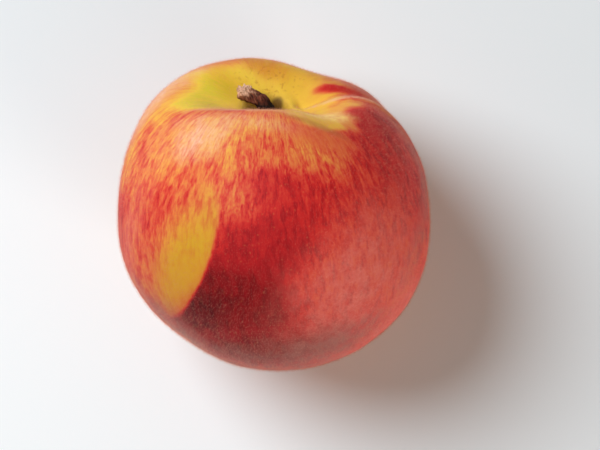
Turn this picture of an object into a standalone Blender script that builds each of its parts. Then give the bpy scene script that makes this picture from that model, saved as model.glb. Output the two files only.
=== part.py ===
"""A ripe peach lying on one cheek, with the woody stub of its stem still in the cavity.

Metres, +Z up. The origin is the middle of the small flat spot that the fruit rests on.
Each shape is worked out in the fruit's own frame: +Z runs from the core out through the stem,
+X points at the suture, the long crease down one side, and +Y and -Y point at the two cheeks.
"""

import math

import bmesh
import bpy
from mathutils import Vector

# Driving dimensions of the fruit
HALF_WIDTH = 0.0359  # core to the outside of a cheek
HALF_ACROSS_SUTURE = 0.0353  # core to the outside on the suture's side and opposite it
TOP_HEIGHT = 0.0350  # core to where the stem end would be if it had no cavity
BOTTOM_HEIGHT = 0.0342  # core to the blossom end
TOP_SQUARENESS = 0.90  # under 1, the outline is fuller than an ellipse
BOTTOM_SQUARENESS = 0.97

# Swells and hollows that keep the fruit from being a perfect oval: where the middle lies, from
# the stem's axis and round from the suture, how far it stands out, and how wide it is
SWELLS = {
    "high_shoulder": (math.radians(40), math.radians(130), 0.0017, math.radians(24)),
    "low_shoulder": (math.radians(34), math.radians(40), -0.0024, math.radians(15)),
    "full_flank": (math.radians(126), math.radians(-34), 0.0008, math.radians(30)),
    "lean_flank": (math.radians(128), math.radians(-166), -0.0010, math.radians(22)),
    "full_cheek": (math.radians(80), math.radians(-105), 0.0006, math.radians(38)),
    "spout": (math.radians(23), math.radians(-50), -0.0026, math.radians(9)),
}

# The wide bowl at the stem end, and the narrow throat in the middle of it
BOWL_DEPTH = 0.0076
BOWL_LONG_REACH = 0.0165  # how far out the bowl's slope lies, along the bowl
BOWL_SHORT_REACH = 0.0098  # and across it
BOWL_TURN = math.radians(-20)  # the bowl's long direction, round from the suture
THROAT_DEPTH = 0.0080
THROAT_RADIUS = 0.0040
THROAT_SOFTNESS = 0.0006
SOCKET_DEPTH = 0.0010  # the plain hole in the throat's floor that the stub stands in
SOCKET_RADIUS = 0.0023  # of its floor
SOCKET_SLOPE = 0.0005  # how much wider its mouth is

# The suture, from the cavity over the shoulder and down to the blossom end
CREASE_DEPTH = 0.0010
CREASE_HALF_WIDTH = 0.0018
VALLEY_DEPTH = 0.0012
VALLEY_HALF_WIDTH = 0.0070
LIP_HEIGHT = 0.0005
LIP_TURN = math.radians(-13)  # the sharper lip, round from the crease
LIP_HALF_WIDTH = 0.0015
SUTURE_START = 0.0042  # lateral radius in the cavity where the suture starts to show
SUTURE_FULL = 0.0090  # and where it has its full depth
SUTURE_ON_FLANK = 0.55  # its depth half way down, as a share of the depths above
SUTURE_MORE_AT_STEM = 0.75  # what is added to that share towards the stem end
SUTURE_MORE_AT_BLOSSOM = 0.25  # and towards the blossom end

# The blossom end: a shallow dimple with a small point in it
DIMPLE_DEPTH = 0.0008
DIMPLE_RADIUS = 0.0070
POINT_HEIGHT = 0.0019
POINT_RADIUS = 0.0017

# How the fruit lies: leaning back on a cheek, with the stem end up and away
LEAN = math.radians(64.0)  # the stem's axis from upright
TURN = math.radians(2.0)  # of the leaning axis about the vertical
SUTURE_ROLL = math.radians(17.0)  # the fruit's turn about its own axis
PRESSED_DEPTH = 0.0009  # how much of the skin the flat spot takes off

# The stem's stub, a short bent twig
STUB_FOOT_GAP = 0.0005  # between the middle of its foot and the socket's floor
STUB_UPRIGHT = 0.0064  # its straight part, from the foot
STUB_BEND_RADIUS = 0.0042
STUB_BEND = math.radians(66.0)
STUB_BEND_TOWARDS = math.radians(150.0)  # round from the suture
STUB_END_RUN = 0.0046  # its straight part after the bend
STUB_RADIUS = 0.0016
STUB_FOOT_FLARE = 0.00020
STUB_KNOB = 0.00040
STUB_STEPS = 20
STUB_SIDES_RESOLUTION = 3

# The mesh of the fruit
SEGMENTS = 72
CROWDING_AT_SUTURE = 0.55  # share by which the segments close up at the suture
CAVITY_RINGS = 17
CAVITY_EDGE = 0.0086  # lateral radius where the cavity's own rings end
BODY_RINGS = 36
POINT_RINGS = 6
POINT_EDGE = 0.0060  # lateral radius where the rings of the blossom point start


def smooth_step(low, high, value):
    share = min(1.0, max(0.0, (value - low) / (high - low)))
    return share * share * (3 - 2 * share)


def bell(distance, width):
    return math.exp(-((distance / width) ** 2))


def oval_point(polar, longitude):
    """(lateral radius, height) on the plain oval that the fruit is carved from."""
    across = 0.5 - 0.5 * math.cos(2 * longitude)
    half_width = HALF_ACROSS_SUTURE + (HALF_WIDTH - HALF_ACROSS_SUTURE) * across
    top_share = smooth_step(-0.6, 0.6, math.cos(polar))
    height = BOTTOM_HEIGHT + (TOP_HEIGHT - BOTTOM_HEIGHT) * top_share
    power = BOTTOM_SQUARENESS + (TOP_SQUARENESS - BOTTOM_SQUARENESS) * top_share
    lateral = half_width * math.sin(polar) ** power
    return lateral, math.copysign(height * abs(math.cos(polar)) ** power, math.cos(polar))


def direction(polar, longitude):
    """The way out from the core at these two angles."""
    round_axis = Vector((math.cos(longitude), math.sin(longitude), 0)) * math.sin(polar)
    return round_axis + Vector((0, 0, math.cos(polar)))


def swell_height(polar, longitude):
    """How far the swells and hollows together stand out here."""
    here = direction(polar, longitude)
    return sum(
        height * bell(here.angle(direction(*middle)), spread)
        for *middle, height, spread in SWELLS.values()
    )


def cavity_depth(lateral, longitude):
    """How far the stem end sinks below the oval, at this distance from the axis."""
    along = lateral * math.cos(longitude - BOWL_TURN) / BOWL_LONG_REACH
    across = lateral * math.sin(longitude - BOWL_TURN) / BOWL_SHORT_REACH
    bowl = BOWL_DEPTH * math.exp(-(math.hypot(along, across) ** 3))
    throat = THROAT_DEPTH / (1 + math.exp((lateral - THROAT_RADIUS) / THROAT_SOFTNESS))
    socket = SOCKET_DEPTH * (1 - smooth_step(SOCKET_RADIUS, SOCKET_RADIUS + SOCKET_SLOPE, lateral))
    return bowl + throat + socket


def suture_depth(lateral, height, longitude):
    """How deep the suture is here, measured towards the core. Less than zero on its lip."""
    aside = lateral * math.sin(longitude)
    shape = CREASE_DEPTH * bell(aside, CREASE_HALF_WIDTH)
    shape += VALLEY_DEPTH * bell(aside, VALLEY_HALF_WIDTH)
    shape -= LIP_HEIGHT * bell(lateral * math.sin(longitude - LIP_TURN), LIP_HALF_WIDTH)
    along = height / TOP_HEIGHT
    strength = SUTURE_ON_FLANK
    strength += SUTURE_MORE_AT_STEM * smooth_step(0.1, 0.9, along)
    strength += SUTURE_MORE_AT_BLOSSOM * smooth_step(-0.3, -0.9, along)
    strength *= smooth_step(0.0, 0.5, math.cos(longitude))
    return shape * strength * smooth_step(SUTURE_START, SUTURE_FULL, lateral)


def blossom_relief(lateral):
    """How far the blossom end stands out past the oval, at this distance from the axis."""
    return POINT_HEIGHT * bell(lateral, POINT_RADIUS) - DIMPLE_DEPTH * bell(lateral, DIMPLE_RADIUS)


def skin_point(polar, longitude):
    """The point of the skin for these two angles, in the fruit's own frame."""
    lateral, height = oval_point(polar, longitude)
    sunk = suture_depth(lateral, height, longitude) - swell_height(polar, longitude)
    towards_core = Vector((lateral, height)).normalized() * sunk
    if height > 0:
        height -= cavity_depth(lateral, longitude)
    else:
        height -= blossom_relief(lateral)
    lateral -= towards_core.x
    height -= towards_core.y
    return Vector((lateral * math.cos(longitude), lateral * math.sin(longitude), height))


def polar_of_lateral(lateral):
    """The polar angle at which the oval's top has this lateral radius."""
    return math.asin((lateral / HALF_WIDTH) ** (1 / TOP_SQUARENESS))


def ring_angles():
    """The polar angle of each ring, close together in the cavity and at the blossom point."""
    cavity_end = polar_of_lateral(CAVITY_EDGE)
    point_start = math.pi - polar_of_lateral(POINT_EDGE)
    rings = [
        polar_of_lateral(CAVITY_EDGE * ring / CAVITY_RINGS) for ring in range(1, CAVITY_RINGS)
    ]
    rings += [
        cavity_end + (point_start - cavity_end) * ring / BODY_RINGS for ring in range(BODY_RINGS + 1)
    ]
    rings += [
        math.pi - polar_of_lateral(POINT_EDGE * (1 - ring / POINT_RINGS))
        for ring in range(1, POINT_RINGS)
    ]
    return [0.0, *rings, math.pi]


def make_fruit_mesh():
    """A sphere whose rings and segments are moved onto the skin."""
    angles = ring_angles()
    shape = bmesh.new()
    bmesh.ops.create_uvsphere(shape, u_segments=SEGMENTS, v_segments=len(angles) - 1, radius=1.0)
    for vertex in shape.verts:
        even_polar = math.acos(max(-1.0, min(1.0, vertex.co.z)))
        even_longitude = math.atan2(vertex.co.y, vertex.co.x)
        ring = round(even_polar / math.pi * (len(angles) - 1))
        longitude = even_longitude - CROWDING_AT_SUTURE * math.sin(even_longitude)
        vertex.co = skin_point(angles[ring], longitude)
    mesh = bpy.data.meshes.new("fruit")
    shape.to_mesh(mesh)
    shape.free()
    return mesh


def press_flat(mesh, to_world):
    """Flattens what would be below the table. to_world is the fruit's place."""
    to_fruit = to_world.inverted()
    for vertex in mesh.vertices:
        place = to_world @ vertex.co
        if place.z < 0:
            place.z = 0
            vertex.co = to_fruit @ place


def centre_of_volume(mesh, to_world):
    """The middle of the solid inside the mesh, in the world's directions."""
    mesh.calc_loop_triangles()
    total = 0.0
    moment = Vector()
    for triangle in mesh.loop_triangles:
        corners = [to_world @ mesh.vertices[index].co for index in triangle.vertices]
        volume = corners[0].dot(corners[1].cross(corners[2])) / 6
        total += volume
        moment += sum(corners, Vector()) * (volume / 4)
    return moment / total


def material(name, colour, roughness):
    made = bpy.data.materials.new(name)
    made.use_nodes = True
    surface = made.node_tree.nodes["Principled BSDF"]
    surface.inputs["Base Color"].default_value = (*colour, 1)
    surface.inputs["Roughness"].default_value = roughness
    surface.inputs["Metallic"].default_value = 0
    return made


def link(collection, name, data, parent=None, skin=None):
    made = bpy.data.objects.new(name, data)
    collection.objects.link(made)
    made.parent = parent
    if skin:
        data.materials.append(skin)
    return made


def make_fruit(collection, axis):
    mesh = make_fruit_mesh()
    fruit = link(collection, "fruit", mesh, axis, material("peach_skin", (0.62, 0.11, 0.05), 0.6))
    bpy.context.view_layer.update()
    lean = axis.parent
    rolled = fruit.matrix_world.copy()
    middle = centre_of_volume(mesh, rolled)
    lowest = min((rolled @ vertex.co).z for vertex in mesh.vertices)
    lean.location = (-middle.x, -middle.y, -lowest - PRESSED_DEPTH)
    bpy.context.view_layer.update()
    press_flat(mesh, fruit.matrix_world)
    mesh.shade_smooth()
    return fruit


def stub_path():
    """The stub's middle line and its radius at each step, from the foot out."""
    floor = TOP_HEIGHT - cavity_depth(0.0, 0.0)
    bent = STUB_BEND_RADIUS * STUB_BEND
    length = STUB_UPRIGHT + bent + STUB_END_RUN
    towards = Vector((math.cos(STUB_BEND_TOWARDS), math.sin(STUB_BEND_TOWARDS), 0))
    steps = []
    for step in range(STUB_STEPS + 1):
        run = length * step / STUB_STEPS
        angle = min(STUB_BEND, max(0.0, run - STUB_UPRIGHT) / STUB_BEND_RADIUS)
        past = max(0.0, run - STUB_UPRIGHT - bent)
        aside = STUB_BEND_RADIUS * (1 - math.cos(angle)) + past * math.sin(angle)
        up = min(run, STUB_UPRIGHT) + STUB_BEND_RADIUS * math.sin(angle) + past * math.cos(angle)
        radius = STUB_RADIUS
        radius += STUB_FOOT_FLARE * bell(run, STUB_UPRIGHT / 3)
        radius += STUB_KNOB * bell(length - run, STUB_UPRIGHT / 2)
        place = towards * aside + Vector((0, 0, floor + STUB_FOOT_GAP + up))
        steps.append((place, radius))
    return steps


def make_stub(collection, axis):
    curve = bpy.data.curves.new("stem_stub", "CURVE")
    curve.dimensions = "3D"
    curve.bevel_depth = 1.0
    curve.bevel_resolution = STUB_SIDES_RESOLUTION
    curve.use_fill_caps = True
    steps = stub_path()
    spline = curve.splines.new("POLY")
    spline.points.add(len(steps) - 1)
    for point, (place, radius) in zip(spline.points, steps):
        point.co = (*place, 1)
        point.radius = radius
    return link(collection, "stem_stub", curve, axis, material("stem_wood", (0.16, 0.08, 0.04), 0.8))


def main():
    for old in list(bpy.data.objects):
        bpy.data.objects.remove(old)
    collection = bpy.data.collections.new("peach")
    bpy.context.scene.collection.children.link(collection)
    lean = link(collection, "lean", None)
    lean.rotation_euler = (-LEAN, 0, TURN)
    axis = link(collection, "fruit_axis", None, lean)
    axis.rotation_euler = (0, 0, SUTURE_ROLL)
    make_fruit(collection, axis)
    make_stub(collection, axis)


main()
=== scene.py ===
import bpy
import math
import numpy as np
from mathutils import Matrix, Vector, noise


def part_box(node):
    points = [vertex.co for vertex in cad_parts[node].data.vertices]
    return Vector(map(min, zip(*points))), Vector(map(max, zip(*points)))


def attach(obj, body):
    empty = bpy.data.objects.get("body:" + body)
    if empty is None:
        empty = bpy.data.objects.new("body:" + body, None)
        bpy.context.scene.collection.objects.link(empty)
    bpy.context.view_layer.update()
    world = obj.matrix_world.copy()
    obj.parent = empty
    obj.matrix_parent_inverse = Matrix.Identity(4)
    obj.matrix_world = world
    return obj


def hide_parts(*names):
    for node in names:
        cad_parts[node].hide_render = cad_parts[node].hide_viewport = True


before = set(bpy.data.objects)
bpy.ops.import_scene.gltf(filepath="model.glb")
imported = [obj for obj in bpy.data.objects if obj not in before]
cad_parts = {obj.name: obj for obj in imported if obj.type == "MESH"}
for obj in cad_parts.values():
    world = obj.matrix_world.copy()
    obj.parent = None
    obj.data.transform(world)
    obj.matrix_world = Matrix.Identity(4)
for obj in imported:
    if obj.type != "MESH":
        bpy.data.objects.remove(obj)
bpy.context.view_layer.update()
mm = 0.001

# The photograph as it is used here: the pixel at the fruit's middle, and what a pixel covers there.
# A place on the skin is found by looking straight down from a little above the fruit. Where that
# misses, the place is pulled in step by step towards the fruit's middle.
photo = {
    "middleU": 217.4,
    "middleV": 304.2,
    "mmPerPixel": 0.766,
    "lookFrom": 10 * mm,
    "pulls": np.linspace(1, 0.8, 21),
}

# How the fruit lies: its stem's axis leans back from upright, and the suture starts on the right.
# The core, which the stem's axis runs through, lies a little off the middle of the fruit's box.
fruitLie = {
    "lean": 64,
    "turn": 2,
    "sutureRoll": 17,
    "radius": 36 * mm,
    "coreShift": Vector((0, -0.5 * mm, -0.8 * mm)),
}

# How a copy of a CAD node is merged, and which of its triangles are made quads again
nodeCopy = {"mergeWithin": 0.002 * mm, "flatWithin": math.radians(40), "squareWithin": math.radians(50)}


def deselectAll():
    if bpy.context.mode != "OBJECT":
        bpy.ops.object.mode_set(mode="OBJECT")
    bpy.ops.object.select_all(action="DESELECT")


def makeActive(piece):
    deselectAll()
    piece.select_set(True)
    bpy.context.view_layer.objects.active = piece


def applyModifiers(piece):
    makeActive(piece)
    for modifier in list(piece.modifiers):
        bpy.ops.object.modifier_apply(modifier=modifier.name)


def subdivideSmooth(piece, levels):
    smooth = piece.modifiers.new("smooth", "SUBSURF")
    smooth.levels = smooth.render_levels = levels
    applyModifiers(piece)


def newObject(name, data):
    made = bpy.data.objects.new(name, data)
    bpy.context.scene.collection.objects.link(made)
    return made


def copyOfNode(nodeName, pieceName):
    # a CAD node's triangles are loose, so the copy is merged and its quads are put back
    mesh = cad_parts[nodeName].data.copy()
    mesh.name = pieceName
    piece = newObject(pieceName, mesh)
    mesh.materials.clear()
    makeActive(piece)
    bpy.ops.object.mode_set(mode="EDIT")
    bpy.ops.mesh.select_all(action="SELECT")
    bpy.ops.mesh.remove_doubles(threshold=nodeCopy["mergeWithin"])
    bpy.ops.mesh.tris_convert_to_quads(
        face_threshold=nodeCopy["flatWithin"], shape_threshold=nodeCopy["squareWithin"]
    )
    bpy.ops.object.mode_set(mode="OBJECT")
    return piece


def cornersOf(piece):
    return np.array([corner.co[:] for corner in piece.data.vertices])


def normalsOf(piece):
    return np.array([corner.normal[:] for corner in piece.data.vertices])


def smoothStep(low, high, values):
    share = np.clip((values - low) / (high - low), 0, 1)
    return share * share * (3 - 2 * share)


def unit(vectors):
    return vectors / np.linalg.norm(vectors, axis=-1, keepdims=True)


def finishPiece(piece, slotName, *nodeNames):
    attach(piece, "root")
    if nodeNames:
        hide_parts(*nodeNames)


def rotation(degrees, axis):
    return Matrix.Rotation(math.radians(degrees), 3, axis)


fruitTurn = (
    rotation(fruitLie["turn"], "Z") @ rotation(-fruitLie["lean"], "X") @ rotation(fruitLie["sutureRoll"], "Z")
)
lowCorner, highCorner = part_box("fruit")
core = (lowCorner + highCorner) / 2 + fruitLie["coreShift"]
boxMiddleY = (lowCorner.y + highCorner.y) / 2
stemAxis = np.array(fruitTurn @ Vector((0, 0, 1)))


def roundStemAxis(corners):
    # how far each corner lies along the stem's axis from the core, and how far off that axis
    fromCore = corners - np.array(core)
    along = fromCore @ stemAxis
    return along, np.linalg.norm(fromCore - along[:, None] * stemAxis, axis=1)


def seenOnSkin(u, v):
    # the point of the skin that shows at this pixel, or the nearest one further in if it is off the edge
    x = (u - photo["middleU"]) * photo["mmPerPixel"] * mm
    y = (photo["middleV"] - v) * photo["mmPerPixel"] * mm
    for pull in photo["pulls"]:
        above = Vector((core.x + x * pull, boxMiddleY + y * pull, highCorner.z + photo["lookFrom"]))
        hit, place, *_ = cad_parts["fruit"].ray_cast(above, Vector((0, 0, -1)))
        if hit:
            return place
    raise ValueError(f"pixel {u}, {v} misses the fruit")


# Node helpers: each takes sockets or plain values and gives back a socket

def put(tree, socket, value):
    if isinstance(value, bpy.types.NodeSocket):
        tree.links.new(value, socket)
    else:
        socket.default_value = value


def mathNode(tree, operation, first, second=0.0, third=0.0):
    made = tree.nodes.new("ShaderNodeMath")
    made.operation = operation
    for socket, value in zip(made.inputs, (first, second, third)):
        put(tree, socket, value)
    return made.outputs[0]


def product(tree, first, *others):
    for other in others:
        first = mathNode(tree, "MULTIPLY", first, other)
    return first


def vectorNode(tree, operation, first, second=(0, 0, 0)):
    made = tree.nodes.new("ShaderNodeVectorMath")
    made.operation = operation
    put(tree, made.inputs[0], first)
    if operation == "SCALE":
        put(tree, made.inputs["Scale"], second)
    else:
        put(tree, made.inputs[1], second)
    return made.outputs["Value"] if operation in ("LENGTH", "DOT_PRODUCT") else made.outputs["Vector"]


def noiseNode(tree, point, scale, detail=2.0, roughness=0.5, colour=False):
    made = tree.nodes.new("ShaderNodeTexNoise")
    put(tree, made.inputs["Vector"], point)
    made.inputs["Scale"].default_value = scale
    made.inputs["Detail"].default_value = detail
    made.inputs["Roughness"].default_value = roughness
    return made.outputs["Color" if colour else "Fac"]


def centred(tree, value):
    # a noise runs from 0 to 1, and this makes it swing about 0
    return mathNode(tree, "SUBTRACT", value, 0.5)


def remap(tree, value, fromLow, fromHigh, toLow=0.0, toHigh=1.0):
    made = tree.nodes.new("ShaderNodeMapRange")
    made.interpolation_type = "SMOOTHSTEP"
    put(tree, made.inputs["Value"], value)
    limits = {"From Min": fromLow, "From Max": fromHigh, "To Min": toLow, "To Max": toHigh}
    for name, limit in limits.items():
        made.inputs[name].default_value = limit
    return made.outputs["Result"]


def mixValue(tree, share, first, second):
    made = tree.nodes.new("ShaderNodeMix")
    put(tree, made.inputs[0], share)
    put(tree, made.inputs[2], first)
    put(tree, made.inputs[3], second)
    return made.outputs[0]


def mixColour(tree, share, first, second, blend="MIX"):
    made = tree.nodes.new("ShaderNodeMix")
    made.data_type = "RGBA"
    made.blend_type = blend
    put(tree, made.inputs[0], share)
    for socket, value in ((made.inputs[6], first), (made.inputs[7], second)):
        put(tree, socket, value if isinstance(value, bpy.types.NodeSocket) else (*value, 1))
    return made.outputs[2]


def rampNode(tree, value, stops):
    made = tree.nodes.new("ShaderNodeValToRGB")
    elements = made.color_ramp.elements
    while len(elements) < len(stops):
        elements.new(0.5)
    for element, (place, colour) in zip(elements, stops):
        element.position = place
        element.color = (*colour, 1)
    put(tree, made.inputs["Fac"], value)
    return made.outputs["Color"]


def splitVector(tree, vector):
    made = tree.nodes.new("ShaderNodeSeparateXYZ")
    put(tree, made.inputs[0], vector)
    return made.outputs


def joinVector(tree, x, y, z):
    made = tree.nodes.new("ShaderNodeCombineXYZ")
    for socket, value in zip(made.inputs, (x, y, z)):
        put(tree, socket, value)
    return made.outputs[0]


def ownPlace(tree):
    return tree.nodes.new("ShaderNodeTexCoord").outputs["Object"]


def addBump(tree, surface, height, strength, distance):
    bump = tree.nodes.new("ShaderNodeBump")
    bump.inputs["Strength"].default_value = strength
    bump.inputs["Distance"].default_value = distance
    put(tree, bump.inputs["Height"], height)
    put(tree, surface.inputs["Normal"], bump.outputs["Normal"])


def newMaterial(name):
    made = bpy.data.materials.new(name)
    made.use_nodes = True
    return made, made.node_tree, made.node_tree.nodes["Principled BSDF"]


def shade(red, green, blue):
    # a colour as a paint program shows it, 0 to 255, made linear by the sRGB formula
    linear = []
    for part in (red / 255, green / 255, blue / 255):
        linear.append(part / 12.92 if part < 0.04045 else ((part + 0.055) / 1.055) ** 2.4)
    return tuple(linear)


# The skin's blush. Its level runs from 0, green yellow, to 1, the darkest maroon, and rises from the
# underside to the upperside between two heights. Then come the patches. Each is placed by the pixel
# of the photograph at its middle. Its size is in millimetres, half its length and half its width,
# and turn is the way that its length runs, from the right. Its depth is the larger of the two unless
# it is given. Edge is how soft it is, and point is the moved place that it is drawn in.
# Here and below, a pair of limits is the range that a remap reads, and two more numbers after them
# are the range that it gives, in place of 0 to 1.
blush = {
    "underside": 0.36,
    "upperside": 0.56,
    "heights": (4 * mm, 46 * mm),
    "drift": {"amount": 0.60, "scale": 2.0},
    "patches": {
        "leftEdge": {"u": 177, "v": 311, "size": (17, 6), "turn": 85, "edge": 0.6, "level": 0.49},
        "streakyFlank": {"u": 190, "v": 301, "size": (14, 12), "turn": 60, "edge": 0.5, "level": 0.51},
        "leftDashes": {"u": 183, "v": 300, "size": (8, 5), "turn": 75, "edge": 0.6, "level": 0.55},
        "goldenShoulder": {"u": 190, "v": 286, "size": (14, 7), "turn": 30, "edge": 0.6, "level": 0.38},
        "leftShoulder": {"u": 183, "v": 274, "size": (13, 8), "turn": 50, "edge": 0.6, "level": 0.28},
        "leftTop": {"u": 175, "v": 286, "size": (9, 5), "turn": 75, "edge": 0.6, "level": 0.34},
        "leftSpot": {"u": 179.5, "v": 284.5, "size": (4.5, 2.4), "turn": 75, "edge": 0.7, "level": 0.47},
        "redHeart": {"u": 229, "v": 302, "size": (17, 12), "turn": -50, "edge": 0.4, "level": 0.63},
        "rosyBrow": {"u": 227, "v": 285, "size": (16, 6), "turn": -10, "edge": 0.6, "level": 0.49},
        "orangeBrow": {"u": 209, "v": 280, "size": (19, 6), "turn": -5, "edge": 0.6, "level": 0.31},
        "orangeTemple": {"u": 203, "v": 289, "size": (7, 5), "turn": 20, "edge": 0.6, "level": 0.35},
        "goldEdge": {"u": 203, "v": 298, "size": (10, 3.6), "turn": -52, "edge": 0.6, "level": 0.46},
        "browMiddle": {"u": 218, "v": 286, "size": (6, 3.6), "turn": -10, "edge": 0.6, "level": 0.48},
        "crimsonHeart": {"u": 214, "v": 317, "size": (13, 9), "turn": 30, "edge": 0.5, "level": 0.72},
        "maroonPool": {"u": 206, "v": 330, "size": (17, 8.5), "turn": -12, "edge": 0.5, "level": 0.84},
        "maroonCorner": {"u": 196, "v": 334, "size": (8, 5), "turn": 30, "edge": 0.6, "level": 0.93},
        # darker red on the upper right shoulder: partly its own colour, partly painted shade
        "shoulderRedAndShade": {"u": 252.5, "v": 290, "size": (15, 9.5), "turn": -60, "edge": 0.6, "level": 0.66},
        "besideWedge": {"u": 247, "v": 277, "size": (5, 6), "turn": -60, "edge": 0.5, "level": 0.71},
        "rosyFlank": {"u": 246, "v": 322, "size": (17, 13), "turn": 45, "edge": 0.5, "level": 0.58},
        "lowRim": {"u": 215, "v": 344, "size": (20, 8), "turn": 0, "edge": 0.7, "level": 0.85},
        "lowerRight": {"u": 252, "v": 337, "size": (20, 8), "turn": 45, "edge": 0.7, "level": 0.62},
    },
    "bowl": {
        "bowlYellow": {"u": 208, "v": 268, "size": (24, 12), "turn": -4, "edge": 0.3, "level": 0.13},
        "leftMouth": {"u": 195.0, "v": 271.8, "size": (7.5, 4.2), "turn": 6, "edge": 0.5, "level": 0.06},
        "bowlRight": {"u": 223.5, "v": 268, "size": (9.5, 9.5), "turn": 0, "edge": 0.4, "level": 0.13},
        "greenSide": {"u": 200, "v": 268, "size": (5.0, 3.2), "turn": 20, "edge": 0.8, "level": 0.05},
        "farRim": {
            "u": 214, "v": 259.6, "size": (17, 3.0), "depth": 7, "turn": -6, "edge": 0.6, "level": 0.24,
        },
        "farRimLeft": {"u": 200, "v": 259.5, "size": (8, 3.4), "turn": 20, "edge": 0.6, "level": 0.35},
        "lobeLeft": {"u": 232, "v": 265.2, "size": (6, 4.2), "turn": -10, "edge": 0.7, "level": 0.29},
        "farLobe": {"u": 246.5, "v": 267.3, "size": (8, 5.0), "turn": -35, "edge": 0.8, "level": 0.50},
        "lobeTop": {"u": 239, "v": 264.0, "size": (8, 2.2), "turn": -22, "edge": 0.7, "level": 0.36},
        "farWallRight": {"u": 223, "v": 268, "size": (5, 5), "turn": 0, "edge": 0.8, "level": 0.14},
        "underWedge": {"u": 231, "v": 281.5, "size": (8, 3.6), "turn": -18, "edge": 0.5, "level": 0.46},
        "wedge": {"u": 230.7, "v": 276.1, "size": (7.1, 5.3), "turn": -20, "edge": 0.2, "level": 0.20},
        "wedgeTop": {"u": 230.5, "v": 272.8, "size": (6.5, 2.6), "turn": 12, "edge": 0.5, "level": 0.18},
        "wedgeBright": {"u": 230, "v": 275.4, "size": (5, 2.4), "turn": -5, "edge": 0.6, "level": 0.15},
        "wedgeCorner": {"u": 238.3, "v": 273.2, "size": (4.6, 3.2), "turn": 15, "edge": 0.5, "level": 0.25},
        "wedgeRight": {"u": 237.6, "v": 276.4, "size": (2.0, 5.0), "turn": 8, "edge": 0.5, "level": 0.37},
        "pastWedge": {"u": 244.4, "v": 276.8, "size": (3.2, 5.6), "turn": 6, "edge": 0.3, "level": 0.66},
        "redStreak": {
            "u": 235.8, "v": 267.4, "size": (6.0, 1.0), "depth": 3, "turn": -20,
            "edge": 0.5, "level": 0.62, "point": "mark",
        },
        "leftRim": {"u": 187.8, "v": 267.5, "size": (4.5, 5.5), "turn": 20, "edge": 0.6, "level": 0.29},
    },
    # Sharp edged on its lower right, where a leaf lay against the growing fruit
    "leafMark": {
        "edgeSide": {"u": 184.7, "v": 314.7, "size": (21, 12.2), "turn": 63, "edge": 0.05},
        "softSide": {"u": 192, "v": 319, "size": (18, 7.2), "turn": 60, "edge": 0.75},
        "level": 0.185,
        "clearShare": 0.50,
    },
    # How far each pattern moves the blush. Dashes and hairlines are red strokes, so they mostly add to it.
    "strokes": {"dashes": 0.17, "hairlines": 0.11},
    "strokeCut": (0.42, 0.66),
    "strokeMiddle": 0.30,
    "specks": {"flecks": 0.16, "mottle": 0.20},
    # All four are strong on gold and orange, weaker on clean yellow and full red, and weak at both ends
    "room": {
        "byYellow": (0.15, 0.36, 0.35, 1.0),
        "byRed": (0.46, 0.80, 1.0, 0.30),
        "byEnds": (0.10, 0.50, 0.25, 1.0),
    },
    # How much of all four shows through the patches of the bowl
    "clearShare": 0.30,
    "crease": {"darker": 0.09, "halfWidth": 0.035, "side": (0.0, 0.15), "start": (0.35, 0.6)},
}

# The patterns that the colour draws on. A moved place has the size of its noise's lumps and how far
# they move it. Strokes run from stem to blossom end, each with its fineness and its stretch, and
# wander a little in the same way. Flecks and mottle have a fineness, a detail and a roughness.
patterns = {
    "moved": {"soft": (8 * mm, 7 * mm), "bowl": (4 * mm, 2.5 * mm), "mark": (3 * mm, 1.0 * mm)},
    "strokes": {"dashes": (22, 0.40), "hairlines": (56, 0.30)},
    "strokeWander": (0.25, 0.12),
    "strokeGrain": (3.0, 0.6),
    "noises": {"flecks": (42, 2.0, 0.6), "mottle": (11, 3.0, 0.6)},
}

skinRamp = [
    (0.00, shade(210, 194, 50)),
    (0.12, shade(236, 197, 67)),
    (0.23, shade(234, 172, 68)),
    (0.34, shade(228, 138, 66)),
    (0.44, shade(222, 106, 60)),
    (0.54, shade(215, 69, 50)),
    (0.63, shade(203, 40, 38)),
    (0.73, shade(172, 26, 32)),
    (0.84, shade(134, 18, 24)),
    (0.93, shade(98, 10, 17)),
    (1.00, shade(60, 10, 18)),
]
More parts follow.
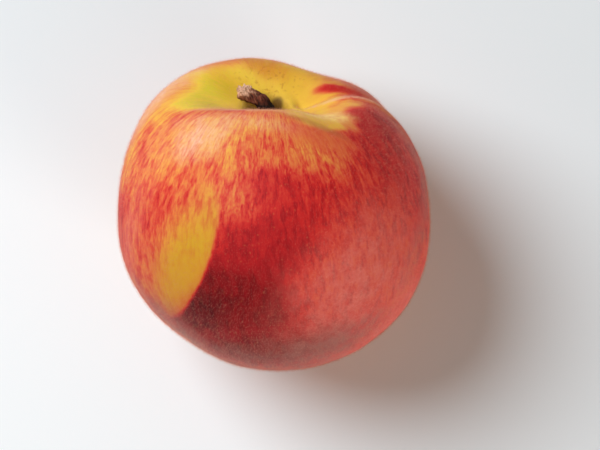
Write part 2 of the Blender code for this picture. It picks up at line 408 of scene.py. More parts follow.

# Painted sheen and painted highlights: the bloom of fuzz, painted over the colour where the light catches it.
# It is cloudy and finely grained all over, and where it is combed it is thinner on the red strokes.
paintedSheenGrain = {
    "size": 0.7 * mm,
    "grain": (0.3, 0.7, 0.72, 1.18),
    "clouds": (0.36, 0.64, 0.66, 1.26),
    "combing": (0.38, 0.62, 1.35, 0.65),
}
paintedSheen = {
    # painted sheen of the fuzz on the lower right flank and the left edge
    "rosy": {
        "colour": shade(224, 118, 106),
        "point": "soft",
        "combed": False,
        "patches": {
            "flank": {"u": 243, "v": 326, "size": (18, 13), "turn": 50, "edge": 0.7, "level": 0.58},
            "lowerEdge": {"u": 250, "v": 338, "size": (20, 7), "turn": 42, "edge": 0.7, "level": 0.55},
            "lowRight": {"u": 255, "v": 330, "size": (9, 6), "turn": 60, "edge": 0.8, "level": 0.35},
            "leftEdge": {"u": 175, "v": 312, "size": (15, 4), "turn": 80, "edge": 0.7, "level": 0.30},
        },
    },
    # painted highlight on the upper left, and painted sheen on the shoulders, the near rim and its crest line
    "pale": {
        "colour": shade(238, 184, 150),
        "point": "bowl",
        "combed": True,
        "patches": {
            "highlight": {"u": 196.2, "v": 282.6, "size": (5.6, 4.2), "turn": 12, "edge": 0.8, "level": 0.62},
            "leftShoulder": {"u": 181, "v": 272, "size": (10, 5.5), "turn": 50, "edge": 0.7, "level": 0.70},
            "farShoulder": {"u": 188, "v": 265, "size": (8, 4), "turn": 40, "edge": 0.7, "level": 0.50},
            "leftTop": {"u": 174, "v": 286, "size": (10, 3), "turn": 70, "edge": 0.7, "level": 0.35},
            "nearRim": {"u": 205, "v": 277, "size": (13, 2.2), "turn": -2, "edge": 0.8, "level": 0.24},
            "veil": {"u": 194, "v": 281, "size": (15, 6), "turn": 15, "edge": 0.8, "level": 0.12},
            "rimLine": {"u": 210, "v": 273.9, "size": (11, 0.8), "turn": -3, "edge": 0.8, "level": 0.50},
        },
    },
    # paler yellow on the wedge, partly its own colour and partly a painted highlight where it faces the light
    "straw": {
        "colour": shade(255, 218, 126),
        "point": "bowl",
        "combed": False,
        "patches": {
            "wedge": {"u": 230.8, "v": 275.8, "size": (6.6, 3.4), "turn": -20, "edge": 0.5, "level": 0.78},
            "wedgeMiddle": {"u": 234.2, "v": 276, "size": (3, 3), "turn": 0, "edge": 0.8, "level": 0.40},
        },
    },
    # painted sheen of the fuzz round the lower rim and the right edge
    "dusky": {
        "colour": shade(156, 103, 94),
        "point": "soft",
        "combed": False,
        "patches": {
            "lowLeft": {"u": 192, "v": 341, "size": (14, 5.5), "turn": -38, "edge": 0.7, "level": 0.60},
            "lowRight": {"u": 236, "v": 341, "size": (9, 5), "turn": 18, "edge": 0.8, "level": 0.45},
            "lowCorner": {"u": 190, "v": 337, "size": (6.5, 4), "turn": -45, "edge": 0.8, "level": 0.40},
            "low": {"u": 220, "v": 347, "size": (20, 6), "turn": 6, "edge": 0.8, "level": 0.55},
            "bottomRim": {"u": 215, "v": 350, "size": (19, 6), "turn": 2, "edge": 0.7, "level": 0.55},
            "rightEdge": {"u": 262, "v": 303, "size": (16, 4), "turn": 85, "edge": 0.7, "level": 0.40},
            "rightShoulder": {"u": 260, "v": 289, "size": (12, 3.5), "turn": -65, "edge": 0.7, "level": 0.35},
        },
    },
}

# Painted shadow beside the stub, where the stem's hole lies, and painted shade down the fold below the yellow
# wedge
paintedShades = {
    # painted shadow in the stem's hole beside the stub
    "besideStub": {
        "colour": shade(40, 20, 12),
        "patch": {
            "u": 218.5, "v": 272.4, "size": (1.5, 1.0), "depth": 2, "turn": 0, "edge": 0.4, "level": 0.96,
        },
    },
    # painted shade in the fold below the wedge
    "fold": {
        "colour": shade(160, 92, 60),
        "patch": {"u": 229.5, "v": 278.2, "size": (6.5, 0.9), "turn": -24, "edge": 0.8, "level": 0.45},
    },
}

# Where the yellow is deeper and browner, besides the leaf's mark, and behind the stub a painted shade
ochreAndShade = {
    "tint": (0.80, 0.67, 0.42),
    "patches": {
        "farRim": {
            "u": 215, "v": 259.0, "size": (17, 2.6), "depth": 7, "turn": -8, "edge": 0.7, "level": 0.8,
        },
        # painted shade of the stub on the bowl
        "behindStub": {"u": 205, "v": 267.6, "size": (6, 3.4), "turn": 0, "edge": 0.8, "level": 0.65},
    },
}

# Fine marks on the skin: pale breathing pores on the red, whose edge is in parts of their radius,
# and brown russet specks in the bowl
marks = {
    "poreSpacing": 1.7 * mm,
    "poreRadius": 0.22 * mm,
    "poreEdge": (1.2, 0.6),
    "poresOnRed": (0.46, 0.58),
    "poreShare": 0.15,
    "poreColour": shade(230, 152, 96),
    "russet": {"u": 218, "v": 265.2, "size": (9, 3.5), "turn": 0, "edge": 0.7},
    "russetSize": 0.9 * mm,
    "russetCut": (0.58, 0.68),
    "russetShare": 0.40,
    "russetColour": shade(172, 100, 44),
}

# A painted highlight along the lip beside the suture, where the fuzz catches the light; the lip lies a little
# round from the suture. The line starts and fades by the angle from the stem's axis, its edge is in parts of
# its half width, and side keeps it to the suture's side of that axis.
lipHighlight = {
    "turn": -13,
    "halfWidth": 0.65 * mm,
    "edge": (1.6, 0.3),
    "start": (0.26, 0.36),
    "fade": (1.05, 0.62),
    "side": (0.0, 0.1),
    "flecks": (0.36, 0.60, 0.35, 1.1),
    "share": 0.58,
}

# Bare places at both ends, by their distance from the stem's axis in parts of the fruit's radius.
# The throat's dark brown is partly its own and partly painted shade down in the stem's hole.
# Their ragged edges come from a noise, and the two ends part halfway along the fruit.
ends = {
    # brown of the stem's hole, darkened with painted shade
    "throat": {"reach": 0.128, "softness": 0.40, "colour": shade(50, 28, 16)},
    "throatRing": {"reach": 0.190, "softness": 0.55, "colour": shade(168, 124, 50)},
    "blossomTip": {"reach": 0.050, "softness": 0.55, "colour": shade(58, 34, 24)},
    "ragged": 0.035,
    "raggedSize": 1.3 * mm,
    "halfway": 0.1,
}

# The skin's surface: finely grained, nearly matt, with a little sheen
skinSurface = {
    "grainSize": 0.45 * mm,
    "grainStrength": 0.35,
    "grainHeight": 0.06 * mm,
    "roughness": (0.3, 0.7, 0.50, 0.66),
    "specular": 0.14,
    "sheen": 0.10,
    "sheenRoughness": 0.30,
    "sheenTint": (1.0, 0.82, 0.74, 1),
}


def alongSkin(out, turn, steepest=0.3):
    # the direction along the skin that looks turned by this angle when seen from straight above,
    # where skin steeper than a limit counts as that steep
    angle = math.radians(turn)
    flat = Vector((math.cos(angle), math.sin(angle), 0))
    return Vector((flat.x, flat.y, -flat.dot(out) / max(out.z, steepest))).normalized()


def patchMask(tree, point, patch):
    # 1 in the middle of the patch and 0 outside it, over a soft edge
    middle = seenOnSkin(patch["u"], patch["v"])
    out = (middle - core).normalized()
    along = alongSkin(out, patch["turn"])
    across = out.cross(along).normalized()
    axes = Matrix((along, across, along.cross(across))).transposed()
    made = tree.nodes.new("ShaderNodeMapping")
    made.vector_type = "TEXTURE"
    put(tree, made.inputs["Vector"], point)
    made.inputs["Location"].default_value = middle
    made.inputs["Rotation"].default_value = axes.to_euler("XYZ")
    long, wide = patch["size"]
    made.inputs["Scale"].default_value = (long * mm, wide * mm, patch.get("depth", max(long, wide)) * mm)
    distance = vectorNode(tree, "LENGTH", made.outputs["Vector"])
    return remap(tree, distance, 1 + patch["edge"], 1 - patch["edge"])


def warped(tree, point, size, amount):
    # the same point, moved about by a noise whose lumps have this size and whose middle is 0.5
    push = vectorNode(tree, "SUBTRACT", noiseNode(tree, point, 1 / size, colour=True), (0.5, 0.5, 0.5))
    return vectorNode(tree, "ADD", point, vectorNode(tree, "SCALE", push, amount))


def fruitCoordinates(tree, place):
    # the place in parts of the radius from the fruit's middle, with the stem's axis as Z
    turned = tree.nodes.new("ShaderNodeMapping")
    turned.vector_type = "TEXTURE"
    put(tree, turned.inputs["Vector"], place)
    turned.inputs["Location"].default_value = core
    turned.inputs["Rotation"].default_value = fruitTurn.to_euler("XYZ")
    turned.inputs["Scale"].default_value = (fruitLie["radius"],) * 3
    return turned.outputs["Vector"]


def streaked(tree, spot, finer, stretch):
    # a noise drawn out along the lines that run from the stem to the blossom end
    line = joinVector(
        tree,
        mathNode(tree, "DIVIDE", spot["x"], spot["lateral"]),
        mathNode(tree, "DIVIDE", spot["y"], spot["lateral"]),
        mathNode(tree, "MULTIPLY", spot["polar"], stretch),
    )
    return noiseNode(tree, warped(tree, line, *patterns["strokeWander"]), finer, *patterns["strokeGrain"])


def readPlace(tree):
    # every measure of the place that the skin's colour is worked out from
    place = ownPlace(tree)
    own = fruitCoordinates(tree, place)
    x, y, z = splitVector(tree, own)
    lateral = mathNode(tree, "SQRT", mathNode(tree, "ADD", product(tree, x, x), product(tree, y, y)))
    spot = {"place": place, "own": own, "x": x, "y": y, "z": z, "lateral": lateral}
    spot["polar"] = mathNode(tree, "ARCTAN2", lateral, z)
    for name, (size, amount) in patterns["moved"].items():
        spot[name] = warped(tree, place, size, amount)
    for name, (finer, stretch) in patterns["strokes"].items():
        spot[name] = streaked(tree, spot, finer, stretch)
    for name, look in patterns["noises"].items():
        spot[name] = noiseNode(tree, own, *look)
    return spot


def blushLevel(tree, spot):
    height = splitVector(tree, spot["soft"])[2]
    level = remap(tree, height, *blush["heights"], blush["underside"], blush["upperside"])
    drift = centred(tree, noiseNode(tree, spot["own"], blush["drift"]["scale"]))
    level = mathNode(tree, "MULTIPLY_ADD", drift, blush["drift"]["amount"], level)
    for patch in blush["patches"].values():
        level = mixValue(tree, patchMask(tree, spot["soft"], patch), level, patch["level"])

    # The strokes and specks
    room = product(
        tree,
        remap(tree, level, *blush["room"]["byYellow"]),
        remap(tree, level, *blush["room"]["byRed"]),
        remap(tree, spot["lateral"], *blush["room"]["byEnds"]),
    )
    pattern = 0.0
    for name, amount in blush["strokes"].items():
        stroke = remap(tree, spot[name], *blush["strokeCut"])
        stroke = mathNode(tree, "SUBTRACT", stroke, blush["strokeMiddle"])
        pattern = mathNode(tree, "MULTIPLY_ADD", stroke, amount, pattern)
    for name, amount in blush["specks"].items():
        pattern = mathNode(tree, "MULTIPLY_ADD", centred(tree, spot[name]), amount, pattern)
    pattern = mathNode(tree, "MULTIPLY", pattern, room)
    level = mathNode(tree, "ADD", level, pattern)

    # The bowl's patches lie over the strokes, and let a little of them through
    clear = mathNode(tree, "MULTIPLY", pattern, blush["clearShare"])
    for patch in blush["bowl"].values():
        wanted = mathNode(tree, "ADD", clear, patch["level"])
        level = mixValue(tree, patchMask(tree, spot[patch.get("point", "bowl")], patch), level, wanted)
    mark = blush["leafMark"]
    inMark = product(
        tree, patchMask(tree, spot["mark"], mark["edgeSide"]), patchMask(tree, spot["bowl"], mark["softSide"])
    )
    wanted = mathNode(tree, "MULTIPLY_ADD", pattern, mark["clearShare"], mark["level"])
    level = mixValue(tree, inMark, level, wanted)

    # The suture is a little darker down its crease
    look = blush["crease"]
    crease = product(
        tree,
        remap(tree, mathNode(tree, "ABSOLUTE", spot["y"]), look["halfWidth"], 0.0),
        remap(tree, spot["x"], *look["side"]),
        remap(tree, spot["polar"], *look["start"]),
    )
    level = mathNode(tree, "MULTIPLY_ADD", crease, look["darker"], level)
    return level, inMark


def addPaintedSheen(tree, spot, colour):
    fine = noiseNode(tree, spot["place"], 1 / paintedSheenGrain["size"], roughness=0.7)
    even = product(tree, remap(tree, fine, *paintedSheenGrain["grain"]), remap(tree, spot["mottle"], *paintedSheenGrain["clouds"]))
    combed = product(tree, even, remap(tree, spot["hairlines"], *paintedSheenGrain["combing"]))
    # each kind of painted sheen and painted highlight mixed over the colour
    for kind in paintedSheen.values():
        grain = combed if kind["combed"] else even
        for patch in kind["patches"].values():
            share = product(tree, patchMask(tree, spot[kind["point"]], patch), patch["level"], grain)
            colour = mixColour(tree, share, colour, kind["colour"])
    return colour


def addPaintedShades(tree, spot, colour):
    for dark in paintedShades.values():
        share = product(tree, patchMask(tree, spot["place"], dark["patch"]), dark["patch"]["level"])
        colour = mixColour(tree, share, colour, dark["colour"])
    return colour


def addMarks(tree, spot, colour, level):
    pores = tree.nodes.new("ShaderNodeTexVoronoi")
    put(tree, pores.inputs["Vector"], spot["place"])
    pores.inputs["Scale"].default_value = 1 / marks["poreSpacing"]
    away = product(tree, pores.outputs["Distance"], marks["poreSpacing"] / marks["poreRadius"])
    inPore = remap(tree, away, *marks["poreEdge"])
    share = product(tree, inPore, remap(tree, level, *marks["poresOnRed"]), marks["poreShare"])
    colour = mixColour(tree, share, colour, marks["poreColour"])
    specks = remap(tree, noiseNode(tree, spot["place"], 1 / marks["russetSize"]), *marks["russetCut"])
    share = product(tree, specks, patchMask(tree, spot["bowl"], marks["russet"]), marks["russetShare"])
    return mixColour(tree, share, colour, marks["russetColour"])


def addLipHighlight(tree, spot, colour):
    turn = math.radians(lipHighlight["turn"])
    aside = mathNode(
        tree, "SUBTRACT", product(tree, spot["y"], math.cos(turn)), product(tree, spot["x"], math.sin(turn))
    )
    width = lipHighlight["halfWidth"] / fruitLie["radius"]
    outer, inner = lipHighlight["edge"]
    lip = product(
        tree,
        remap(tree, mathNode(tree, "ABSOLUTE", aside), width * outer, width * inner),
        remap(tree, spot["polar"], *lipHighlight["start"]),
        remap(tree, spot["polar"], *lipHighlight["fade"]),
        remap(tree, spot["x"], *lipHighlight["side"]),
        remap(tree, spot["flecks"], *lipHighlight["flecks"]),
        lipHighlight["share"],
    )
    return mixColour(tree, lip, colour, paintedSheen["pale"]["colour"])


def addEnds(tree, spot, colour):
    ragged = centred(tree, noiseNode(tree, spot["place"], 1 / ends["raggedSize"], roughness=0.6))
    reachHere = mathNode(tree, "MULTIPLY_ADD", ragged, ends["ragged"], spot["lateral"])
    stemSide = remap(tree, spot["z"], -ends["halfway"], ends["halfway"])
    blossomSide = remap(tree, spot["z"], ends["halfway"], -ends["halfway"])
    # the throat's brown is deepened with painted shade
    for name, side in (("throatRing", stemSide), ("throat", stemSide), ("blossomTip", blossomSide)):
        reach, softness = ends[name]["reach"], ends[name]["softness"]
        share = product(tree, remap(tree, reachHere, reach, reach * (1 - softness)), side)
        colour = mixColour(tree, share, colour, ends[name]["colour"])
    return colour


def makeSkinMaterial():
    material, tree, surface = newMaterial("peachSkin")
    spot = readPlace(tree)
    level, inMark = blushLevel(tree, spot)
    colour = rampNode(tree, level, skinRamp)
    # deeper, browner yellow, and the stub's painted shade
    ochreAndShadeShare = inMark
    for patch in ochreAndShade["patches"].values():
        share = product(tree, patchMask(tree, spot["soft"], patch), patch["level"])
        ochreAndShadeShare = mathNode(tree, "MAXIMUM", ochreAndShadeShare, share)
    colour = mixColour(tree, ochreAndShadeShare, colour, ochreAndShade["tint"], "MULTIPLY")
    colour = addMarks(tree, spot, colour, level)
    # painted sheen and painted highlights over the skin's colour
    colour = addPaintedSheen(tree, spot, colour)
    # painted shadow beside the stub and painted shade in the fold
    colour = addPaintedShades(tree, spot, colour)
    # painted highlight along the lip beside the suture
    colour = addLipHighlight(tree, spot, colour)
    colour = addEnds(tree, spot, colour)
    put(tree, surface.inputs["Base Color"], colour)
    grain = noiseNode(tree, spot["place"], 1 / skinSurface["grainSize"], detail=3.0, roughness=0.6)
    addBump(tree, surface, grain, skinSurface["grainStrength"], skinSurface["grainHeight"])
    put(tree, surface.inputs["Roughness"], remap(tree, grain, *skinSurface["roughness"]))
    surface.inputs["Specular IOR Level"].default_value = skinSurface["specular"]
    surface.inputs["Sheen Weight"].default_value = skinSurface["sheen"]
    surface.inputs["Sheen Roughness"].default_value = skinSurface["sheenRoughness"]
    surface.inputs["Sheen Tint"].default_value = skinSurface["sheenTint"]
    return material


# The skin's mesh, and its own slight lumps, which stand out as far as they sink in. They fade out by
# the floor and in the cavity, where other things touch.
skinForm = {
    "subdivisions": 2,
    "lumpSize": 12 * mm,
    "lumpHeight": 0.30 * mm,
    "offFloor": (0.8 * mm, 6 * mm),
    "offStem": (4.5 * mm, 10 * mm),
}


def makeSkin():
    skin = copyOfNode("fruit", "peach_skin")
    subdivideSmooth(skin, skinForm["subdivisions"])
    corners = cornersOf(skin)
    along, lateral = roundStemAxis(corners)
    free = smoothStep(*skinForm["offFloor"], corners[:, 2])
    free *= np.where(along > 0, smoothStep(*skinForm["offStem"], lateral), 1)
    uneven = skin.vertex_groups.new(name="uneven")
    for index, share in enumerate(free):
        uneven.add([index], share, "REPLACE")
    lumps = bpy.data.textures.new("lumps", "CLOUDS")
    lumps.noise_scale = skinForm["lumpSize"]
    lumps.noise_depth = 1
    move = skin.modifiers.new("lumps", "DISPLACE")
    move.texture = lumps
    move.texture_coords = "LOCAL"
    move.vertex_group = uneven.name
    move.mid_level = 0.5
    move.strength = skinForm["lumpHeight"] * 2
    applyModifiers(skin)
    skin.vertex_groups.clear()
    bpy.ops.object.shade_smooth()
    skin.data.materials.append(makeSkinMaterial())
    finishPiece(skin, "skin", "fruit")
    return skin


skin = makeSkin()
print("skin made,", len(skin.data.polygons), "faces")


# Fine hairs all over the skin. They stand nearly upright, so they show most round the edge.
fuzz = {
    "hairsPerPiece": 48000,
    "pieces": ("fuzz_lower", "fuzz_middle", "fuzz_upper", "fuzz_top"),
    "length": (0.30 * mm, 0.80 * mm),
    "width": 0.015 * mm,
    "lean": 0.42,
    "rootSunk": 0.04 * mm,
    "floorGap": 0.02 * mm,
    "throatClear": 3.6 * mm,
    "colour": shade(226, 158, 132),
    "roughness": 0.7,
    "specular": 0.2,
    "seed": 11,
}


def hairTemplate():
    # one hair: a thin upright cone with three sides, one unit long and one unit wide
    deselectAll()
    bpy.ops.mesh.primitive_cone_add(vertices=3, radius1=0.5, radius2=0, depth=1, location=(0, 0, 0.5))
    hair = bpy.context.object
    bpy.ops.object.transform_apply(location=True)
    corners = cornersOf(hair)
    faces = []
    for face in hair.data.polygons:
        faces.append(list(face.vertices))
    bpy.data.objects.remove(hair)
    return corners, faces


def scatterOnSkin(skin, count, randomly):
    # roots spread evenly over the skin's area, each with the way out of the skin there
    mesh = skin.data
    mesh.calc_loop_triangles()
    corners = cornersOf(skin)
    normals = normalsOf(skin)
    triangles = np.array([triangle.vertices[:] for triangle in mesh.loop_triangles])
    a, b, c = (corners[triangles[:, i]] for i in range(3))
    areas = np.linalg.norm(np.cross(b - a, c - a), axis=1)
    chosen = triangles[np.searchsorted(np.cumsum(areas) / areas.sum(), randomly.random(count))]
    first, second = randomly.random(count), randomly.random(count)
    folded = first + second > 1
    first[folded], second[folded] = 1 - first[folded], 1 - second[folded]
    shares = np.stack((1 - first - second, first, second), axis=1)[:, :, None]
    return (corners[chosen] * shares).sum(axis=1), unit((normals[chosen] * shares).sum(axis=1))


def makeFuzzMaterial():
    material, tree, surface = newMaterial("peachFuzz")
    surface.inputs["Base Color"].default_value = (*fuzz["colour"], 1)
    surface.inputs["Roughness"].default_value = fuzz["roughness"]
    surface.inputs["Specular IOR Level"].default_value = fuzz["specular"]
    return material


def makeFuzz(skin):
    randomly = np.random.default_rng(fuzz["seed"])
    roots, out = scatterOnSkin(skin, fuzz["hairsPerPiece"] * len(fuzz["pieces"]), randomly)
    lean = randomly.normal(size=roots.shape)
    lean = unit(lean - out * (lean * out).sum(axis=1)[:, None])
    upright = unit(out + lean * (randomly.random(len(out)) * fuzz["lean"])[:, None])
    side = unit(np.cross(upright, lean))
    front = np.cross(upright, side)
    lengths = randomly.uniform(*fuzz["length"], len(out))[:, None]
    foot = roots - out * fuzz["rootSunk"]
    tips = foot + upright * lengths
    along, lateral = roundStemAxis(foot)
    clear = (foot[:, 2] > fuzz["floorGap"]) & (tips[:, 2] > fuzz["floorGap"])
    clear &= (along < 0) | (lateral > fuzz["throatClear"])
    order = np.flatnonzero(clear)
    order = order[np.argsort(foot[order, 2], kind="stable")]
    template, faces = hairTemplate()
    material = makeFuzzMaterial()
    for name, chosen in zip(fuzz["pieces"], np.array_split(order, len(fuzz["pieces"]))):
        corners = foot[chosen][:, None] + (
            side[chosen][:, None] * (template[:, 0, None] * fuzz["width"])
            + front[chosen][:, None] * (template[:, 1, None] * fuzz["width"])
            + upright[chosen][:, None] * (template[:, 2, None] * lengths[chosen][:, None])
        )
        steps = np.arange(len(chosen)) * len(template)
        hairFaces = []
        for face in faces:
            hairFaces.extend((steps[:, None] + np.array(face)).tolist())
        mesh = bpy.data.meshes.new(name)
        mesh.from_pydata(corners.reshape(-1, 3), [], hairFaces)
        mesh.materials.append(material)
        finishPiece(newObject(name, mesh), "skin")
        print(name, "made,", len(chosen), "hairs")


makeFuzz(skin)


# The stub of the stem: ridged dry bark, torn off at its end. Runs are measured from its foot.
twig = {
    # Its two ends are read off the solid's mesh, and a curve is drawn between them
    "path": {
        "footFace": 0.1 * mm,
        "endFace": 0.6 * mm,
        "endCorners": 10,
        "beforeEnd": (2.2 * mm, 3.2 * mm),
        "pull": 0.80,
        "steps": 80,
        "cornersAtOnce": 4000,
    },
    "subdivisions": 2,
    "voxel": 0.085 * mm,
    "relax": {"factor": 0.5, "rounds": 3},
    "ridge": {"height": 0.17 * mm, "size": 0.42 * mm, "stretch": 5.5, "lostAtEnd": 0.8},
    "knots": {"height": 0.30 * mm, "size": 1.4 * mm, "stretch": 1.4, "relief": 0.5},
    "torn": {"reach": 1.4 * mm, "height": 0.9 * mm, "size": 0.5 * mm, "stretch": 1, "sunk": 0.8},
    "footSunk": {"depth": 0.9 * mm, "from": 2.5 * mm},
    "seed": 5,
}

# Splinters of the torn wood. Each grows from just inside the end, over most of the radius that the
# last part of the run has. Its middle stands out by a share of its length, and its tip's radius is
# its width divided by the taper.
fibre = {
    "count": 34,
    "length": (0.4 * mm, 1.2 * mm),
    "width": (0.16 * mm, 0.36 * mm),
    "sides": 6,
    "taper": 5,
    "spread": 0.26,
    "standsOut": 0.3,
    "rootSunk": 0.3 * mm,
    "within": 0.85,
    "endRun": 1.0 * mm,
}

# The stub's colours, by how far along it they lie: 0 at its foot, 1 at its end. The foot is near black: dark
# bark with painted shade where it sits down in the throat.
bark = {
    "along": [
        (0.00, shade(18, 10, 8)),
        (0.64, shade(26, 13, 10)),
        (0.72, shade(82, 36, 24)),
        (0.82, shade(108, 52, 36)),
        (0.87, shade(150, 98, 74)),
        (0.92, shade(218, 170, 142)),
        (1.00, shade(230, 190, 162)),
    ],
    "wander": 0.24,
    # painted highlight on the raised ridges, out of the throat only
    "ridgeHighlight": shade(168, 104, 76),
    "ridgeRelief": (0.20, 0.80),
    "ridgesFrom": (0.64, 0.76),
    "ridgeShare": 0.40,
    # painted shade in the deep fissures, and a fine dark grain
    "fissureShadeAndGrain": shade(26, 13, 10),
    "fissureRelief": (-0.05, -0.55),
    "fissureGrain": (0.40, 0.30),
    "fissureShare": (0.80, 0.92, 0.75, 0.15),
    "patchSize": 1.1 * mm,
    "grainSize": 0.16 * mm,
    "grainStrength": 0.6,
    "grainHeight": 0.06 * mm,
    "roughness": 0.85,
    "specular": 0.25,
}


def middleOfEnd(corners, pointing, depth):
    # the middle of the face at the end that this direction points to
    reach = corners @ pointing
    return corners[reach > reach.max() - depth].mean(axis=0)


def twigPath(stub):
    # the stub's middle line, a smooth curve from the middle of its foot to the middle of its end
    path = twig["path"]
    corners = cornersOf(stub)
    foot = middleOfEnd(corners, -stemAxis, path["footFace"])
    byDistance = np.argsort(np.linalg.norm(corners - np.array(core), axis=1))
    furthest = corners[byDistance[-path["endCorners"]:]].mean(axis=0)
    reach = np.linalg.norm(corners - furthest, axis=1)
    near, far = path["beforeEnd"]
    pointing = unit(furthest - corners[(reach > near) & (reach < far)].mean(axis=0))
    end = middleOfEnd(corners, pointing, path["endFace"])
    across = (end - foot) - ((end - foot) @ stemAxis) * stemAxis
    sideways = np.linalg.norm(across)
    across = across / sideways
    bend = pointing @ across
    fromEnd = sideways / bend
    fromFoot = (end - foot) @ stemAxis - fromEnd * (pointing @ stemAxis)
    afterFoot = foot + stemAxis * fromFoot * path["pull"]
    beforeEnd = end - pointing * fromEnd * path["pull"]
    handles = [foot, afterFoot, beforeEnd, end]
    steps = np.linspace(0, 1, path["steps"])[:, None]
    weights = [(1 - steps) ** 3, 3 * steps * (1 - steps) ** 2, 3 * steps ** 2 * (1 - steps), steps ** 3]
    line = sum(weight * handle for weight, handle in zip(weights, handles))
    return line, unit(np.gradient(line, axis=0)), np.cross(stemAxis, across), pointing


def placeOnPath(corners, line, tangents, sideways):
    # for each corner: its run from the foot, and how far off the line it lies in two directions
    runs = np.concatenate(([0], np.cumsum(np.linalg.norm(np.diff(line, axis=0), axis=1))))
    nearest = np.empty(len(corners), dtype=int)
    atOnce = twig["path"]["cornersAtOnce"]
    for start in range(0, len(corners), atOnce):
        part = corners[start:start + atOnce]
        nearest[start:start + atOnce] = np.linalg.norm(part[:, None] - line[None], axis=2).argmin(axis=1)
    offset = corners - line[nearest]
    tangent = tangents[nearest]
    run = runs[nearest] + (offset * tangent).sum(axis=1)
    return run, offset @ sideways, (offset * np.cross(tangent, sideways)).sum(axis=1), tangent, runs[-1]


def roughness(run, first, second, look):
    # a noise for each corner, drawn out along the stub
    dimension, lacunarity, octaves = 1.0, 2.0, 3
    size = look["size"]
    points = np.stack((first / size, second / size, run / size / look["stretch"]), axis=1)
    values = np.empty(len(run))
    for index, point in enumerate(points):
        values[index] = noise.fractal(Vector(point), dimension, lacunarity, octaves)
    return values


def addFibre(place, direction, length, width):
    deselectAll()
    turn = Vector(direction).to_track_quat("Z", "Y").to_euler()
    bpy.ops.mesh.primitive_cone_add(
        vertices=fibre["sides"], radius1=width / 2, radius2=width / fibre["taper"], depth=length,
        location=place + direction * length * fibre["standsOut"], rotation=turn,
    )
    bpy.ops.object.transform_apply(location=True, rotation=True)
    return bpy.context.object


def addFibres(end, pointing, radius, randomly):
    across = unit(np.cross(pointing, stemAxis))
    around = np.cross(pointing, across)
    root = end - pointing * fibre["rootSunk"]
    fibres = []
    for _ in range(fibre["count"]):
        angle = randomly.uniform(0, 2 * math.pi)
        away = radius * math.sqrt(randomly.random())
        place = root + (across * math.cos(angle) + around * math.sin(angle)) * away
        direction = unit(pointing + randomly.normal(size=3) * fibre["spread"])
        length = randomly.uniform(*fibre["length"])
        fibres.append(addFibre(place, direction, length, randomly.uniform(*fibre["width"])))
    return fibres


def writeAttribute(piece, name, values):
    made = piece.data.attributes.new(name, "FLOAT", "POINT")
    made.data.foreach_set("value", values.astype(np.float32))


def readAttribute(tree, name):
    made = tree.nodes.new("ShaderNodeAttribute")
    made.attribute_name = name
    return made.outputs["Fac"]


def makeTwigMaterial():
    material, tree, surface = newMaterial("stemWood")
    place = ownPlace(tree)
    patchy = noiseNode(tree, place, 1 / bark["patchSize"], detail=3.0, roughness=0.6)
    fine = noiseNode(tree, place, 1 / bark["grainSize"], detail=3.0, roughness=0.6)
    run = mathNode(tree, "MULTIPLY_ADD", centred(tree, patchy), bark["wander"], readAttribute(tree, "run"))
    # near black at the foot: dark bark with painted shade in the throat
    colour = rampNode(tree, run, bark["along"])
    relief = readAttribute(tree, "relief")
    outOfThroat = remap(tree, run, *bark["ridgesFrom"])
    # painted highlight on the ridges out of the throat
    ridges = product(tree, remap(tree, relief, *bark["ridgeRelief"]), outOfThroat, bark["ridgeShare"])
    colour = mixColour(tree, ridges, colour, bark["ridgeHighlight"])
    # painted shade in the fissures, and a fine dark grain
    deep = remap(tree, relief, *bark["fissureRelief"])
    fissures = mathNode(tree, "MAXIMUM", deep, remap(tree, fine, *bark["fissureGrain"]))
    share = product(tree, fissures, remap(tree, run, *bark["fissureShare"]))
    colour = mixColour(tree, share, colour, bark["fissureShadeAndGrain"])
    put(tree, surface.inputs["Base Color"], colour)
    surface.inputs["Roughness"].default_value = bark["roughness"]
    surface.inputs["Specular IOR Level"].default_value = bark["specular"]
    addBump(tree, surface, fine, bark["grainStrength"], bark["grainHeight"])
    return material


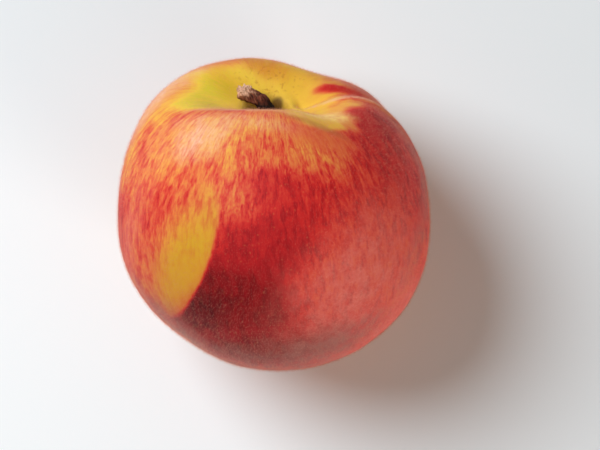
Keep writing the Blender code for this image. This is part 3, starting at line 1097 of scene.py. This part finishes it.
def makeTwig():
    stub = copyOfNode("stem_stub", "stem_twig")
    line, tangents, sideways, pointing = twigPath(stub)
    subdivideSmooth(stub, twig["subdivisions"])
    run, first, second, _, length = placeOnPath(cornersOf(stub), line, tangents, sideways)
    endRadius = np.hypot(first, second)[run > length - fibre["endRun"]].max()
    randomly = np.random.default_rng(twig["seed"])
    fibres = addFibres(line[-1], pointing, endRadius * fibre["within"], randomly)
    deselectAll()
    for piece in (*fibres, stub):
        piece.select_set(True)
    bpy.context.view_layer.objects.active = stub
    bpy.ops.object.join()
    voxels = stub.modifiers.new("voxels", "REMESH")
    voxels.mode = "VOXEL"
    voxels.voxel_size = twig["voxel"]
    relax = stub.modifiers.new("relax", "SMOOTH")
    relax.factor = twig["relax"]["factor"]
    relax.iterations = twig["relax"]["rounds"]
    applyModifiers(stub)

    corners = cornersOf(stub)
    run, first, second, tangent, length = placeOnPath(corners, line, tangents, sideways)
    ridges = roughness(run, first, second, twig["ridge"])
    knots = roughness(run, first, second, twig["knots"])
    torn = roughness(run * 0, first, second, twig["torn"])
    atEnd = smoothStep(length - twig["torn"]["reach"], length, run)
    ridgeHeight = twig["ridge"]["height"] * (1 - twig["ridge"]["lostAtEnd"] * atEnd)
    outwards = ridges * ridgeHeight + knots * twig["knots"]["height"]
    corners = corners + normalsOf(stub) * outwards[:, None]
    corners = corners + tangent * ((torn - twig["torn"]["sunk"]) * atEnd * twig["torn"]["height"])[:, None]
    # the foot is drawn down into the throat's floor, where it grew
    atFoot = 1 - smoothStep(0, twig["footSunk"]["from"], run)
    corners = corners - stemAxis * (atFoot * twig["footSunk"]["depth"])[:, None]
    stub.data.vertices.foreach_set("co", corners.ravel())
    stub.data.update()
    writeAttribute(stub, "run", run / length)
    writeAttribute(stub, "relief", ridges + knots * twig["knots"]["relief"])
    makeActive(stub)
    bpy.ops.object.shade_smooth()
    stub.data.materials.clear()
    stub.data.materials.append(makeTwigMaterial())
    finishPiece(stub, "stem_wood", "stem_stub")
    print("stem stub made,", len(stub.data.polygons), "faces")


makeTwig()


# A pale floor with painted shade that darkens it towards the upper right, a large soft light from the upper
# left, a weaker warm one from low on the lower right, and a dim warm sky. Distances are in metres.
studio = {
    "floorSize": 8,
    "floorFalloffColours": ((0.760, 0.800, 0.835), (0.892, 0.938, 0.974)),
    "floorAlong": (0.77, 0.64, 0),
    "floorRun": (0.080, -0.090),
    "floorRoughness": 0.9,
    "lights": {
        "keyLight": {
            "from": Vector((-0.582, 0.385, 0.863)), "size": 0.70, "power": 13.0, "colour": (0.932, 0.98, 1.0),
        },
        "fillLight": {
            "from": Vector((0.75, -0.75, 0.28)), "size": 0.45, "power": 6.6, "colour": (1.0, 0.91, 0.82),
        },
    },
    "skyColour": (1.0, 0.81, 0.64),
    "skyStrength": 0.15,
}


def makeFloor():
    deselectAll()
    bpy.ops.mesh.primitive_plane_add(size=studio["floorSize"], location=(0, 0, 0))
    floor = bpy.context.object
    floor.name = "floor"
    material, tree, surface = newMaterial("paleFloor")
    # painted shade across the floor, darker towards the upper right
    along = vectorNode(tree, "DOT_PRODUCT", ownPlace(tree), studio["floorAlong"])
    share = remap(tree, along, *studio["floorRun"])
    put(tree, surface.inputs["Base Color"], mixColour(tree, share, *studio["floorFalloffColours"]))
    surface.inputs["Roughness"].default_value = studio["floorRoughness"]
    floor.data.materials.append(material)


def addSoftLight(name, look):
    data = bpy.data.lights.new(name, "AREA")
    data.shape = "DISK"
    data.size = look["size"]
    data.energy = look["power"]
    data.color = look["colour"]
    light = newObject(name, data)
    light.location = look["from"]
    light.rotation_euler = (core - look["from"]).to_track_quat("-Z", "Y").to_euler()


def makeStudio():
    makeFloor()
    for name, look in studio["lights"].items():
        addSoftLight(name, look)
    world = bpy.data.worlds.new("softSky")
    bpy.context.scene.world = world
    world.use_nodes = True
    sky = world.node_tree.nodes["Background"]
    sky.inputs["Color"].default_value = (*studio["skyColour"], 1)
    sky.inputs["Strength"].default_value = studio["skyStrength"]
    bpy.context.scene.view_settings.view_transform = "Standard"


# The camera looks straight down. Its height above the core and the width that it sees there are in
# metres, and so is how far it stands to the right of the core and up the picture from it.
view = {"height": 1.1, "fieldWidth": 0.136, "aside": 0.006, "up": -0.002, "sensorMm": 36}


def makeCamera():
    data = bpy.data.cameras.new("overhead")
    data.sensor_width = view["sensorMm"]
    data.lens = data.sensor_width * view["height"] / view["fieldWidth"]
    camera = newObject("overhead", data)
    camera.location = (core.x + view["aside"], core.y + view["up"], core.z + view["height"])
    bpy.context.scene.camera = camera


makeStudio()
makeCamera()
print("studio made")
